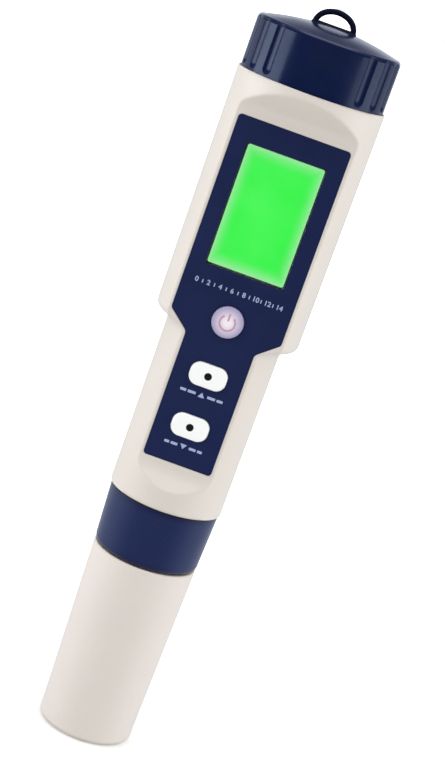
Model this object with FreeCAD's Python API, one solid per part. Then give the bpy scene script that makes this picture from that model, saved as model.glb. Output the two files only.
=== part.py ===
# Pen-type digital pH / conductivity / temperature meter, standing upright on
# its probe cap.
# Frame: Z up along the barrel axis, Z = 0 on the flat end of the probe cap,
# the display faces -Y, +X is to the right when looking at the display.
# Units: millimetres. Prefixes: R_ radius, Z_ height, Y_ depth.
import FreeCAD, Part
import math
import os
from FreeCAD import Vector

os.makedirs("parts", exist_ok=True)

# ---------------------------------------------------------- shared dimensions
SIDES = (-1, 1)
REST_GAP = 0.01         # hairline between parts that rest on each other

# barrel (outer shell)
Z_CAP_SEAM = 173.6      # top face of the barrel, under the battery cap
Z_LIP = 174.55          # thin lip of the barrel that shrouds the foot of the cap
R_LIP_IN = 18.34
R_RIM = 18.80           # at the top edge
R_ABOVE = 18.55         # just above the shoulder
Z_SHOULDER_TOP = 114.1
Z_SHOULDER_BOT = 109.7
R_BELOW = 14.80         # just below the shoulder
R_BARREL_END = 14.70    # at the collar
Z_BARREL_END = 66.0
R_BORE_DISPLAY = 16.2   # bore of the display section
R_BORE_KEYS = 12.9      # bore of the key section
R_CBORE = 16.8          # counterbore that takes the chassis flange
Z_CBORE = 171.6         # its floor
Y_CBORE = -14.4         # its flat front

# flat front face
Y_FACE = -11.25
Y_RECESS = -10.75       # floor of the overlay recess
Y_POCKET = -9.85        # floor of the key pockets
Y_WALL = -9.25          # inner side of the front wall
Z_FACE_TOP = 165.5      # flat front ends here and scoops out to the rim
Z_FACE_BOT = 76.8       # flat front ends here and scoops out to the barrel

# overlay
LABEL_T = 0.47
Z_LABEL_TOP = 164.4
Z_LABEL_BOT = 77.7
HALF_LABEL_UP = 14.13   # half width, display section
HALF_LABEL_LO = 8.82    # half width, key section
Z_SLANT_TOP = 114.75    # slanted shoulder
Z_SLANT_BOT = 110.3

# display window
WINDOW_W = 20.1
Z_WINDOW_BOT = 127.7
Z_WINDOW_TOP = 158.6

# keys: one round, two oval
Z_POWER = 115.8
KEYS = [("power", Z_POWER), ("upper", 101.5), ("lower", 87.9)]
R_KEY = 3.95
KEY_W = 9.45
KEY_H = 5.96
KEY_PROUD = 0.75        # keys stand proud of the overlay

# battery cap and the neck it screws on to
R_CAP = 18.20
Z_CAP_FOOT = 173.72
R_CAP_BORE = 16.55
R_NECK = 15.6
R_NECK_IN = 13.9
Z_NECK_TOP = 183.6
Z_CAP_THREAD = 176.3
CAP_THREAD = dict(pitch=2.5, root_width=1.3, crest_width=0.7)
CHASSIS_SCREW_X = 5
CHASSIS_SCREW_Y = 10.6

# electrode collar (locking ring) and the spigot it screws on to
Z_COLLAR_TOP = 65.9
Z_COLLAR_BOT = 49.7
R_COLLAR_TOP = 14.30
R_COLLAR_BOT = 13.65
R_COLLAR_BORE = 12.75
R_SPIGOT = 11.9
R_SPIGOT_IN = 10.2
Z_SPIGOT = 54.5
Z_COLLAR_THREAD = 57.0
COLLAR_THREAD = dict(pitch=2.0, root_width=1.0, crest_width=0.5)

R_PROBE_CAP_BORE = 11.08

# circuit board and display glass, front and rear faces
Y_BOARD_FRONT = -4.4
Y_BOARD_REAR = -2.8
Y_ON_BOARD = Y_BOARD_FRONT - REST_GAP       # parts seated on the front
Y_BEHIND_BOARD = Y_BOARD_REAR + REST_GAP    # parts seated on the rear
Y_LCD_FRONT = -9.1
Y_LCD_REAR = -7.1

# cells (LR44)
R_CELL = 5.8
CELL_PITCH = 5.4
CELL_T = 5.38
CELL_X = 6.0


# ------------------------------------------------------------------- helpers
def cyl(radius, z0, z1, x=0.0, y=0.0):
    return Part.makeCylinder(radius, z1 - z0, Vector(x, y, z0), Vector(0, 0, 1))


def cyl_y(radius, y0, y1, x, z):
    return Part.makeCylinder(radius, y1 - y0, Vector(x, y0, z), Vector(0, 1, 0))


def ball(radius, x, y, z):
    return Part.makeSphere(radius, Vector(x, y, z))


def box(x0, x1, y0, y1, z0, z1):
    """Box between two corners; x and y may be given in either order."""
    corner = Vector(min(x0, x1), min(y0, y1), z0)
    return Part.makeBox(abs(x1 - x0), abs(y1 - y0), z1 - z0, corner)


def post(half_x, half_y, z0, z1, x=0.0, y=0.0):
    """Box centred on a vertical line."""
    return box(x - half_x, x + half_x, y - half_y, y + half_y, z0, z1)


def ring(r_out, r_in, z0, z1):
    return cyl(r_out, z0, z1).cut(cyl(r_in, z0 - 1, z1 + 1))


def torus(r_ring, r_wire, z):
    return Part.makeTorus(r_ring, r_wire, Vector(0, 0, z), Vector(0, 0, 1))


def cut_cross(shape, half_length, half_width, z0, z1, x=0.0, y=0.0):
    """Cross recess of a screw head."""
    shape = shape.cut(post(half_length, half_width, z0, z1, x, y))
    return shape.cut(post(half_width, half_length, z0, z1, x, y))


def outward(solid):
    if solid.Volume < 0:
        solid.reverse()
    return solid


ARC = "arc"     # marks the middle point of an arc in an outline


def outline(points):
    """Edges through (r, z) points in the XZ plane: lines, or arcs through ARC points."""
    edges = []
    start = mid = None
    for r, z, *mark in points:
        here = Vector(r, 0, z)
        if mark:
            mid = here
            continue
        if mid is not None:
            edges.append(Part.Arc(start, mid, here).toShape())
        elif start is not None:
            edges.append(Part.makeLine(start, here))
        start, mid = here, None
    return edges


def revolve(edges, x=0.0, y=0.0):
    """Solid of revolution from a closed loop of edges, moved to stand at (x, y)."""
    face = Part.Face(Part.Wire(edges))
    solid = outward(face.revolve(Vector(0, 0, 0), Vector(0, 0, 1), 360))
    solid.translate(Vector(x, y, 0))
    return solid


def turned(points, x=0.0, y=0.0):
    """Solid of revolution from outline points; a line closes the loop."""
    return revolve(outline(points + points[:1]), x, y)


def spline(points):
    curve = Part.BSplineCurve()
    curve.interpolate([Vector(*p) for p in points], PeriodicFlag=False)
    return curve


def prism_y(corners, y0, y1):
    """Polygon of (x, z, corner radius) entries, extruded along Y."""
    points = [Vector(x, 0, z) for x, z, _ in corners]
    count = len(points)
    rounds = []
    for i, corner in enumerate(points):
        radius = corners[i][2]
        to_prev = points[i - 1] - corner
        to_next = points[(i + 1) % count] - corner
        to_prev.normalize()
        to_next.normalize()
        half_angle = math.acos(to_prev.dot(to_next)) / 2
        setback = radius / math.tan(half_angle)
        bisector = to_prev + to_next
        bisector.normalize()
        centre = corner + bisector * (radius / math.sin(half_angle))
        rounds.append((corner + to_prev * setback, centre - bisector * radius,
                       corner + to_next * setback))
    edges = []
    for i, (start, mid, end) in enumerate(rounds):
        edges.append(Part.Arc(start, mid, end).toShape())
        edges.append(Part.makeLine(end, rounds[(i + 1) % count][0]))
    face = Part.Face(Part.Wire(edges))
    face.translate(Vector(0, y0, 0))
    return face.extrude(Vector(0, y1 - y0, 0))


def mirrored(right):
    """Full corner list, from the lower left, out of its +X half listed upwards."""
    left = [(-x, z, radius) for x, z, radius in reversed(right)]
    return left[-1:] + right + left[:-1]


def plate_y(half_width, z0, z1, radius, y0, y1):
    """Plate with rounded corners, centred on x = 0."""
    return prism_y(mirrored([(half_width, z0, radius), (half_width, z1, radius)]), y0, y1)


def capsule(radius, half_pitch, z0, z1):
    """Two round columns side by side, joined."""
    pair = cyl(radius, z0, z1, -half_pitch).fuse(cyl(radius, z0, z1, half_pitch))
    return pair.fuse(post(half_pitch, radius, z0, z1)).removeSplitter()


def thread_ridge(r_root, r_crest, z0, turns, pitch, root_width, crest_width):
    """One helical thread ridge between four helices; its flanks run on into
    the wall it stands on, so that the two join as one body."""
    bury = 0.35
    start_angle = 20.0
    outwards = 1 if r_crest > r_root else -1
    r_foot = r_root - outwards * bury
    half_crest = crest_width / 2
    half_foot = (root_width / 2
                 + (root_width - crest_width) / 2 * bury / abs(r_crest - r_root))
    height = pitch * turns
    section = [(r_foot, -half_foot), (r_crest, -half_crest),
               (r_crest, half_crest), (r_foot, half_foot)]
    helices = []
    for radius, dz in section:
        helix = Part.makeHelix(pitch, height, radius)
        helix.translate(Vector(0, 0, dz))
        helices.append(helix)
    faces = []
    for i in range(4):
        for edge_a, edge_b in zip(helices[i].Edges, helices[(i + 1) % 4].Edges):
            faces.append(Part.makeRuledSurface(edge_a, edge_b))
    for z, angle in ((0.0, 0.0), (height, turns * 360.0)):
        corners = [Vector(radius, 0, z + dz) for radius, dz in section]
        end = Part.Face(Part.makePolygon(corners + corners[:1]))
        end.rotate(Vector(0, 0, 0), Vector(0, 0, 1), angle)
        faces.append(end)
    shell = Part.Shell(Part.Compound(faces).Faces)
    shell.sewShape()
    ridge = outward(Part.Solid(shell))
    ridge.rotate(Vector(0, 0, 0), Vector(0, 0, 1), start_angle)
    ridge.translate(Vector(0, 0, z0))
    return ridge


def wire(points, radius):
    """Round wire on a smooth curve through the given points."""
    path = spline(points)
    first = path.FirstParameter
    circle = Part.makeCircle(radius, path.value(first), path.tangent(first)[0])
    return outward(Part.Wire(path.toShape()).makePipeShell([Part.Wire(circle)], True, False))


def fillet(shape, radius, edges):
    """Round the given edges, with a smaller radius where the full one does not fit."""
    for scale in (1.0, 0.75, 0.5):
        # guards against a fillet that the kernel cannot build at this radius
        try:
            rounded = shape.makeFillet(radius * scale, edges)
            if rounded.isValid() and rounded.Volume > 0:
                return rounded
        except Exception:
            pass
    return shape


def save(name, shape):
    solids = shape.Solids
    shape = solids[0] if len(solids) == 1 else Part.makeCompound(solids)
    shape.exportStep("parts/%s.step" % name)


def save_group(name, shapes):
    save(name, Part.makeCompound(shapes))


# ------------------------------------------- outlines shared by several parts
def label_prism(grow, y0, y1):
    slant_drop = grow * 0.55
    return prism_y(mirrored([
        (HALF_LABEL_LO + grow, Z_LABEL_BOT - grow, 0.9),
        (HALF_LABEL_LO + grow, Z_SLANT_BOT - slant_drop, 1.6),
        (HALF_LABEL_UP + grow, Z_SLANT_TOP - slant_drop, 1.2),
        (HALF_LABEL_UP + grow, Z_LABEL_TOP + grow, 1.0)]), y0, y1)


def window_plate(half_width, z_margin, radius, y0, y1):
    return plate_y(half_width, Z_WINDOW_BOT - z_margin, Z_WINDOW_TOP + z_margin,
                   radius, y0, y1)


def key_prism(z, grow, y0, y1):
    """Outline of the key at height z, grown all round."""
    if z == Z_POWER:
        return cyl_y(R_KEY + grow, y0, y1, 0, z)
    height = KEY_H + 2 * grow
    return plate_y(KEY_W / 2 + grow, z - height / 2, z + height / 2, height * 0.42, y0, y1)


# =============================================================== main housing
def face_cutter():
    """Everything in front of the flat face, with a scooped ramp at each end."""
    y_far = -24.0

    def ramp(radius, degrees, z_start, up):
        """Start, middle and end of the scoop, then the far end of the ramp."""
        angle = math.radians(degrees)
        start, mid, end = [
            Vector(0, Y_FACE - radius * (1 - math.cos(a)), z_start + up * radius * math.sin(a))
            for a in (0, angle / 2, angle)]
        far = Vector(0, y_far, end.z + up * (end.y - y_far) / math.tan(angle))
        return start, mid, end, far

    top, top_mid, top_end, top_far = ramp(3.0, 52, Z_FACE_TOP, 1)
    bot, bot_mid, bot_end, bot_far = ramp(4.0, 40, Z_FACE_BOT, -1)
    face = Part.Face(Part.Wire([
        Part.makeLine(bot, top),
        Part.Arc(top, top_mid, top_end).toShape(),
        Part.makeLine(top_end, top_far),
        Part.makeLine(top_far, bot_far),
        Part.makeLine(bot_far, bot_end),
        Part.Arc(bot_end, bot_mid, bot).toShape(),
    ]))
    face.translate(Vector(-25, 0, 0))
    return face.extrude(Vector(50, 0, 0))


def outer_skin():
    """Solid barrel with its flat front."""
    shoulder = Part.BSplineCurve()
    shoulder.interpolate(
        [Vector(R_BELOW, 0, Z_SHOULDER_BOT),
         Vector((R_BELOW + R_ABOVE) / 2, 0, (Z_SHOULDER_BOT + Z_SHOULDER_TOP) / 2),
         Vector(R_ABOVE, 0, Z_SHOULDER_TOP)],
        InitialTangent=Vector(0.0, 0, 3.2), FinalTangent=Vector(0.0, 0, 3.2))
    below = outline([(0, Z_BARREL_END), (R_BARREL_END, Z_BARREL_END),
                     (R_BELOW, Z_SHOULDER_BOT)])
    above = outline([
        (R_ABOVE, Z_SHOULDER_TOP), (R_RIM, Z_LIP - 0.3),
        (R_RIM - 0.088, Z_LIP - 0.088, ARC), (R_RIM - 0.3, Z_LIP),
        (0, Z_LIP), (0, Z_BARREL_END)])
    skin = revolve(below + [shoulder.toShape()] + above)
    skin = skin.cut(face_cutter())
    # soften the edge of the flat front, except level edges centred on x = 0
    front_edges = [e for e in skin.Edges
                   if e.BoundBox.YMax < Y_FACE + 0.05
                   and not (abs(e.BoundBox.Center.x) < 0.01 and e.BoundBox.ZLength < 0.01)]
    return fillet(skin, 0.3, front_edges)


def cavity():
    """Key section, sloped shoulder, display section and chassis counterbore."""
    z_slope0, z_slope1 = 109.6, 114.4
    slope = Part.makeCone(R_BORE_KEYS, R_BORE_DISPLAY, z_slope1 - z_slope0,
                          Vector(0, 0, z_slope0), Vector(0, 0, 1))
    hollow = cyl(R_BORE_KEYS, 69.0, z_slope0).fuse(slope)
    hollow = hollow.fuse(cyl(R_BORE_DISPLAY, z_slope1, Z_CBORE + 0.01))
    hollow = hollow.common(box(-20, 20, Y_WALL, 20, 60, 180))
    counterbore = cyl(R_CBORE, Z_CBORE, Z_CAP_SEAM + 1)
    return hollow.fuse(counterbore.common(box(-20, 20, Y_CBORE, 20, 160, 180)))


def cut_front_wall(body):
    """Overlay recess, window seat and opening, key pockets and stem guides."""
    y_over = Y_RECESS - 0.1
    body = body.cut(label_prism(0.08, Y_FACE - 2, Y_RECESS))
    body = body.cut(window_plate(11.7, 1.65, 1.0, y_over, -9.75))
    body = body.cut(window_plate(9.7, -0.35, 0.5, -9.9, Y_WALL + 0.5))
    for _, z in KEYS:
        body = body.cut(key_prism(z, 0.85, y_over, Y_POCKET))
    for _, z in KEYS:
        body = body.cut(cyl_y(1.48, -10, Y_WALL + 0.5, 0, z))
    return body


def main_housing():
    body = outer_skin().cut(cavity())
    body = body.cut(cyl(R_LIP_IN, Z_CAP_SEAM, Z_LIP + 1))
    body = cut_front_wall(body)
    # board rails on both side walls, in front of the board and behind it
    for side in SIDES:
        for y0, y1 in ((-5.5, Y_BOARD_FRONT - 0.05), (Y_BOARD_REAR + 0.05, -1.7)):
            body = body.fuse(box(side * 13.3, side * 16.9, y0, y1, 117.0, 166.5))
            body = body.fuse(box(side * 9.5, side * 13.6, y0, y1, 84.5, 107.5))
    # screw bosses for the battery chassis, each on a web from the rear wall
    for side in SIDES:
        x, y = side * CHASSIS_SCREW_X, CHASSIS_SCREW_Y
        boss = cyl(2.2, 157.0, Z_CBORE, x, y)
        boss = boss.fuse(box(x - 0.9, x + 0.9, y, 16.6, 157.0, Z_CBORE))
        body = body.fuse(boss)
        body = body.cut(cyl(0.8, 160.0, Z_CBORE + 1, x, y))
    # partition with the connector seat, and the threaded spigot under it
    z_partition = 66.4
    body = body.fuse(cyl(13.6, z_partition, 69.2))
    body = body.fuse(ring(R_SPIGOT, R_SPIGOT_IN, Z_SPIGOT, 66.5))
    body = body.cut(cyl(R_SPIGOT_IN, Z_SPIGOT - 1, z_partition))
    body = body.cut(cyl(5.5, 60, 72))
    body = body.fuse(thread_ridge(R_SPIGOT, 12.5, Z_COLLAR_THREAD, 3.1, **COLLAR_THREAD))
    # key slot for the electrode plug
    return body.cut(box(-0.8, 0.8, 9.5, 10.85, Z_SPIGOT - 1, 63.0))


save("main_housing", main_housing())


# ============================================================ overlay and keys
def front_label():
    through = (Y_RECESS - 2, Y_RECESS + 1)
    label = label_prism(0.0, Y_RECESS - LABEL_T, Y_RECESS)
    label = label.cut(window_plate(WINDOW_W / 2, 0, 0.35, *through))
    for _, z in KEYS:
        label = label.cut(key_prism(z, 0.12, *through))
    return label


def button(z):
    """Key cap through the overlay, retaining flange under it, stem inward."""
    y_top = Y_RECESS - LABEL_T - KEY_PROUD
    cap = key_prism(z, 0, y_top, Y_RECESS + 0.1)
    top_edges = [e for e in cap.Edges
                 if abs(e.BoundBox.YMax - y_top) < 1e-3 and e.BoundBox.YLength < 1e-3]
    cap = fillet(cap, 0.4, top_edges)
    flange = key_prism(z, 0.7, Y_RECESS + 0.02, Y_RECESS + 0.42)
    stem = cyl_y(1.40, Y_RECESS + 0.3, -8.93, 0, z)
    return cap.fuse(flange).fuse(stem).removeSplitter()


save("front_label", front_label())
save("display_window", window_plate(11.6, 1.55, 0.95, Y_RECESS + REST_GAP, -9.76))
for key_name, key_z in KEYS:
    save(key_name + "_button", button(key_z))

# ================================================================ main board
LCD_PEGS = [(-12.5, 126.0), (12.5, 126.0), (-12.5, 162.0), (12.5, 162.0)]   # x, z


def circuit_board():
    board = prism_y(mirrored([(8.6, 84.9, 0.8), (8.6, 108.5, 0.8),
                              (14.6, 117.6, 0.8), (14.6, 165.6, 0.8)]),
                    Y_BOARD_FRONT, Y_BOARD_REAR)
    # the key section of the board is wider where the lower rails hold it
    wide = box(-10.6, 10.6, Y_BOARD_FRONT, Y_BOARD_REAR, 85.2, 107.0)
    board = board.fuse(wide).removeSplitter()
    for x, z in LCD_PEGS:
        board = board.cut(cyl_y(0.62, Y_BOARD_FRONT - 1, Y_BOARD_REAR + 1, x, z))
    return board


def lcd_panel():
    """Front glass overhangs the rear glass to expose the contact ledge."""
    y_joint = -8.1
    front_glass = box(-11.9, 11.9, Y_LCD_FRONT, y_joint, 124.8, 161.4)
    rear_glass = box(-11.9, 11.9, y_joint, Y_LCD_REAR, 127.6, 161.4)
    return front_glass.fuse(rear_glass).removeSplitter()


def lcd_frame():
    """Frame round the display, with pegs through the board."""
    frame = plate_y(13.1, 123.6, 164.4, 0.8, Y_LCD_FRONT - 0.08, Y_ON_BOARD)
    frame = frame.cut(box(-12.0, 12.0, -12, 0, 124.6, 163.4))
    for x, z in LCD_PEGS:
        frame = frame.fuse(cyl_y(0.58, Y_BOARD_FRONT - 0.3, Y_BOARD_REAR + 0.6, x, z))
    return frame.removeSplitter()


save("main_circuit_board", circuit_board())
save("lcd_panel", lcd_panel())
save("zebra_strip", box(-10.5, 10.5, -8.08, Y_BOARD_FRONT - 0.02, 125.0, 127.0))
save("backlight_guide", box(-11.6, 11.6, -7.05, -5.0, 128.0, 160.9))
save_group("backlight_leds", [box(x - 1.5, x + 1.5, -6.9, Y_ON_BOARD, 161.2, 162.7)
                              for x in (-5.5, 5.5)])
save("lcd_frame", lcd_frame())


# tactile switches: fixed bodies on the board, moving plungers
def switch_body(z):
    half = 3.0
    notch = 0.5
    body = box(-half, half, -7.9, Y_ON_BOARD, z - half, z + half)
    body = body.cut(cyl_y(1.78, -8.5, -6.7, 0, z))
    for side in SIDES:
        for level in SIDES:
            x, z_notch = side * half, z + level * half
            body = body.cut(box(x - notch, x + notch, -9, -7.3,
                                z_notch - notch, z_notch + notch))
    return body


save_group("switch_bodies", [switch_body(z) for _, z in KEYS])
for key_name, key_z in KEYS:
    plunger = cyl_y(1.70, -8.6, -7.2, 0, key_z).fuse(cyl_y(1.2, -8.9, -8.5, 0, key_z))
    save(key_name + "_plunger", plunger.removeSplitter())


# controller chip and small parts on the rear of the board
def controller_chip():
    """Square package with nine legs on each side."""
    z_mid = 137
    chip = box(-5, 5, Y_BOARD_REAR + 0.12, Y_BOARD_REAR + 1.5, z_mid - 5, z_mid + 5)
    leg_y = (Y_BEHIND_BOARD, Y_BOARD_REAR + 0.7)
    for i in range(9):
        low, high = i - 4.0 - 0.16, i - 4.0 + 0.16
        for z0, z1 in ((131.0, 132.2), (141.8, 143.0)):
            chip = chip.fuse(box(low, high, *leg_y, z0, z1))
        for side in SIDES:
            chip = chip.fuse(box(side * 4.8, side * 6.0, *leg_y, z_mid + low, z_mid + high))
    return chip.removeSplitter()


# centre x, centre z, width, height, rear face measured from the board
COMPONENTS = [
    (-9, 150, 1.6, 3.2, 0.9), (-9, 145, 1.6, 3.2, 0.9), (-9, 128, 1.6, 3.2, 0.9),
    (9.5, 146, 3.2, 1.6, 0.9), (9.5, 142, 3.2, 1.6, 0.9), (9.5, 126, 3.2, 1.6, 0.9),
    (0, 148, 8.0, 3.6, 3.0), (0, 122, 5.0, 4.0, 1.5), (-7, 122, 2.0, 1.2, 0.8),
    (7, 122, 2.0, 1.2, 0.8), (-4, 104, 2.0, 1.2, 0.8), (4, 104, 2.0, 1.2, 0.8),
    (0, 97, 4.0, 5.0, 1.5)]

save("controller_chip", controller_chip())
save_group("board_components", [
    box(x - width / 2, x + width / 2, Y_BEHIND_BOARD, Y_BOARD_REAR + depth,
        z - height / 2, z + height / 2)
    for x, z, width, height, depth in COMPONENTS])


# ============================================================ battery chassis
def battery_chassis():
    z_seat = Z_CAP_SEAM + 0.02
    neck = ring(R_NECK, R_NECK_IN, z_seat, Z_NECK_TOP)
    rim = [e for e in neck.Edges
           if e.BoundBox.ZMin > Z_NECK_TOP - 0.01 and e.BoundBox.XMax > R_NECK - 0.1]
    neck = fillet(neck, 0.4, rim)
    flange = cyl(R_CBORE - 0.06, Z_CBORE + REST_GAP, z_seat)
    flange = flange.common(box(-20, 20, Y_CBORE + 0.06, 20, 160, 180))
    chassis = flange.fuse(neck)
    chassis = chassis.fuse(capsule(6.95, CELL_X, 167.3, 180.2))
    # web from the wells to the neck wall
    chassis = chassis.fuse(post(0.6, 14.2, Z_CAP_SEAM - 0.5, 178.5))
    # cell wells, terminal slots and screw holes
    for side in SIDES:
        chassis = chassis.cut(cyl(R_CELL + 0.15, 168.3, 200, side * CELL_X))
        chassis = chassis.cut(post(0.85, 0.25, 160, 170, side * CELL_X))
        chassis = chassis.cut(cyl(1.1, 160, 190, side * CHASSIS_SCREW_X, CHASSIS_SCREW_Y))
    # slots that keep the contact carrier from turning
    for side in SIDES:
        chassis = chassis.cut(box(-1.6, 1.6, side * 13.0, side * 14.85, 180.9, 200))
    return chassis.fuse(thread_ridge(R_NECK, 16.3, Z_CAP_THREAD, 2.2, **CAP_THREAD))


def chassis_screw(x, y):
    shank = cyl(0.79, 162.0, 173.7, x, y)
    screw = shank.fuse(cyl(1.85, Z_CAP_SEAM + 0.03, 175.0, x, y))
    return cut_cross(screw, 1.3, 0.22, 174.2, 176, x, y).removeSplitter()


def spring_terminal(x):
    """Disc on the well floor with a tab down through the slot."""
    disc = cyl(4.0, 168.31, 168.55, x)
    return disc.fuse(post(0.75, 0.15, 166.2, 168.5, x)).removeSplitter()


def battery_spring(x):
    """Conical coil, narrowing upwards."""
    steps = 32
    turns = 2.25
    points = []
    for i in range(steps + 1):
        t = i / steps
        angle = t * turns * 2 * math.pi
        radius = 3.4 - 1.0 * t
        points.append((x + radius * math.cos(angle), radius * math.sin(angle),
                       168.80 + 0.85 * t))
    return wire(points, 0.2)


# half section of a cell, (r, z) from its wide end
CELL_PROFILE = [
    (0, 0), (5.6, 0), (R_CELL, 0.2), (R_CELL, 4.4), (5.4, 4.75), (4.7, 4.75), (4.5, 4.9),
    (4.4, 5.3), (4.3, CELL_T), (0, CELL_T)]


def button_cell(side, level):
    """The +X cells stand wide end down, the -X cells wide end up."""
    profile = CELL_PROFILE
    if side < 0:
        profile = [(r, CELL_T - z) for r, z in reversed(profile)]
    z_foot = 169.9 + level * CELL_PITCH
    return turned([(r, z + z_foot) for r, z in profile], side * CELL_X)


save("battery_chassis", battery_chassis())
save_group("chassis_screws", [chassis_screw(side * CHASSIS_SCREW_X, CHASSIS_SCREW_Y)
                              for side in SIDES])
save_group("spring_terminals", [spring_terminal(side * CELL_X) for side in SIDES])
save_group("battery_springs", [battery_spring(side * CELL_X) for side in SIDES])
save_group("button_cells", [button_cell(side, level) for side in SIDES for level in range(2)])
R_BATTERY_LEAD = 0.5
save("battery_lead_red", wire([
    (6.0, 0.75, 166.6), (6.2, 1.7, 165.0), (6.4, 0.9, 163.3),
    (6.4, -1.0, 162.0), (6.4, -2.2, 160.6)], R_BATTERY_LEAD))
save("battery_lead_black", wire([
    (-6.0, 0.75, 166.6), (-6.2, 1.9, 164.8), (-6.5, 1.2, 162.8),
    (-6.5, -0.9, 161.2), (-6.5, -2.2, 159.4)], R_BATTERY_LEAD))
save("cap_seal_ring", torus(16.28, 0.6, 174.28))


# ================================================================ battery cap
def cap_blank():
    """Solid cap with a shallow parabolic dome."""
    z_dome = 190.05
    z_fall, r_fall = 187.75, 17.2   # the parabola falls to this height at this radius
    r_edge = 17.0                   # the dome stops here, at the rounded rim
    dome = [(r, 0, z_dome - (z_dome - z_fall) * (r / r_fall) ** 2)
            for r in (r_edge, 12.9, 8.6, 4.3, 0)]
    z_edge = dome[0][2]
    side = outline([
        (0, Z_CAP_FOOT), (R_CAP - 0.5, Z_CAP_FOOT),
        (R_CAP - 0.146, Z_CAP_FOOT + 0.146, ARC), (R_CAP, Z_CAP_FOOT + 0.5),
        (R_CAP, z_edge - 1.2),
        (R_CAP - 0.33, z_edge - 0.33, ARC), (r_edge, z_edge)])
    axis = outline([(0, z_dome), (0, Z_CAP_FOOT)])
    return revolve(side + [spline(dome).toShape()] + axis)


def grip_groove(degrees):
    """Upright groove cutter with round ends."""
    radius = 2.1
    z0, z1 = 176.5, 186.35
    angle = math.radians(degrees)
    x = (R_CAP + 1.55) * math.cos(angle)
    y = (R_CAP + 1.55) * math.sin(angle)
    groove = cyl(radius, z0, z1, x, y)
    return groove.fuse(ball(radius, x, y, z0)).fuse(ball(radius, x, y, z1))


def battery_cap():
    cap = cap_blank()
    for flank in (0, 180):
        for k in range(-3, 4):
            cap = cap.cut(grip_groove(flank + k * 17.0))
    # bore, seal relief, boss for the contact carrier
    cap = cap.cut(cyl(R_CAP_BORE, Z_CAP_FOOT - 1, 186.0))
    cap = cap.cut(cyl(17.0, Z_CAP_FOOT - 1, 175.2))
    cap = cap.fuse(cyl(4.0, 183.7, 186.5))
    cap = cap.cut(cyl(1.0, 183.0, 188.8))
    cap = cap.fuse(thread_ridge(R_CAP_BORE, 15.85, Z_CAP_THREAD + CAP_THREAD["pitch"] / 2,
                                2.1, **CAP_THREAD))
    # lanyard loop: a flattened arch over a short base bar
    r_arch, r_bar = 0.72, 0.95
    z_arch, z_bar = 189.65, 189.6
    half_span = 11.1 / 2 - r_arch
    rise = 194.4 - r_arch - z_arch
    angles = [math.pi * i / 12 for i in range(13)]
    arch = wire([(half_span * math.cos(a), 0, z_arch + rise * math.sin(a) ** 0.9)
                 for a in angles], r_arch)
    bar = Part.makeCylinder(r_bar, 2 * half_span, Vector(-half_span, 0, z_bar), Vector(1, 0, 0))
    cap = cap.fuse(arch).fuse(bar)
    for side in SIDES:
        cap = cap.fuse(ball(r_bar, side * half_span, 0, z_bar))
    return cap


def contact_carrier():
    """Does not turn; swivels on a shoulder screw under the cap."""
    z0, z1 = 181.3, 183.5
    carrier = cyl(13.3, z0, z1)
    for side in SIDES:
        carrier = carrier.fuse(box(-1.45, 1.45, side * 12.8, side * 14.72, z0, z1))
    carrier = carrier.cut(cyl(3.2, 181.0, 182.5)).cut(cyl(2.06, 180, 185))
    for side in SIDES:
        carrier = carrier.cut(cyl(3.0, 182.3, 184, 0, side * 8.5))
    return carrier.removeSplitter()


def carrier_screw():
    head = cyl(3.0, 181.4, 182.42)
    screw = head.fuse(cyl(1.98, 182.3, 183.69)).fuse(cyl(0.98, 183.5, 188.4))
    return cut_cross(screw, 1.8, 0.3, 181.0, 182.0).removeSplitter()


save("battery_cap", battery_cap())
save("contact_carrier", contact_carrier())
save("contact_plate", capsule(4.2, CELL_X + 0.6, 180.78, 181.08).cut(cyl(3.3, 180, 182)))
save("carrier_screw", carrier_screw())

# ================================================================== connector
R_PIN_CIRCLE = 3.2
PINS = [(R_PIN_CIRCLE * math.cos(math.radians(60 * i)),
         R_PIN_CIRCLE * math.sin(math.radians(60 * i))) for i in range(6)]
# pin number, x where its lead lands on the board
LEAD_ENDS = [(3, -5.0), (4, -3.0), (2, -1.0), (1, 1.0), (5, 3.0), (0, 5.0)]
Y_LEAD_END = -2.2
# share of the way across from pin to landing, z
LEAD_STATIONS = [(0, 74.8), (0, 75.8), (0.05, 76.8), (0.5, 79.8),
                 (0.95, 82.8), (1, 84.0), (1, 86.0), (1, 88.5)]


def sensor_connector():
    body = cyl(5.45, 65.5, 72.0).fuse(cyl(6.7, 69.21, 70.6))
    for x, y in PINS:
        body = body.cut(cyl(0.63, 60, 75, x, y))
    return body.removeSplitter()


def contact(x, y):
    """Socket open at the bottom, with a thin tail on top."""
    socket = cyl(0.6, 65.9, 71.5, x, y).cut(cyl(0.43, 60, 70.6, x, y))
    return socket.fuse(cyl(0.3, 71.2, 74.6, x, y)).removeSplitter()


def sensor_lead(pin, x_end):
    x, y = PINS[pin]
    return wire([(x + share * (x_end - x), y + share * (Y_LEAD_END - y), z)
                 for share, z in LEAD_STATIONS], 0.36)


save("sensor_connector", sensor_connector())
save_group("connector_contacts", [contact(x, y) for x, y in PINS])
save_group("sensor_leads", [sensor_lead(pin, x_end) for pin, x_end in LEAD_ENDS])


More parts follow.
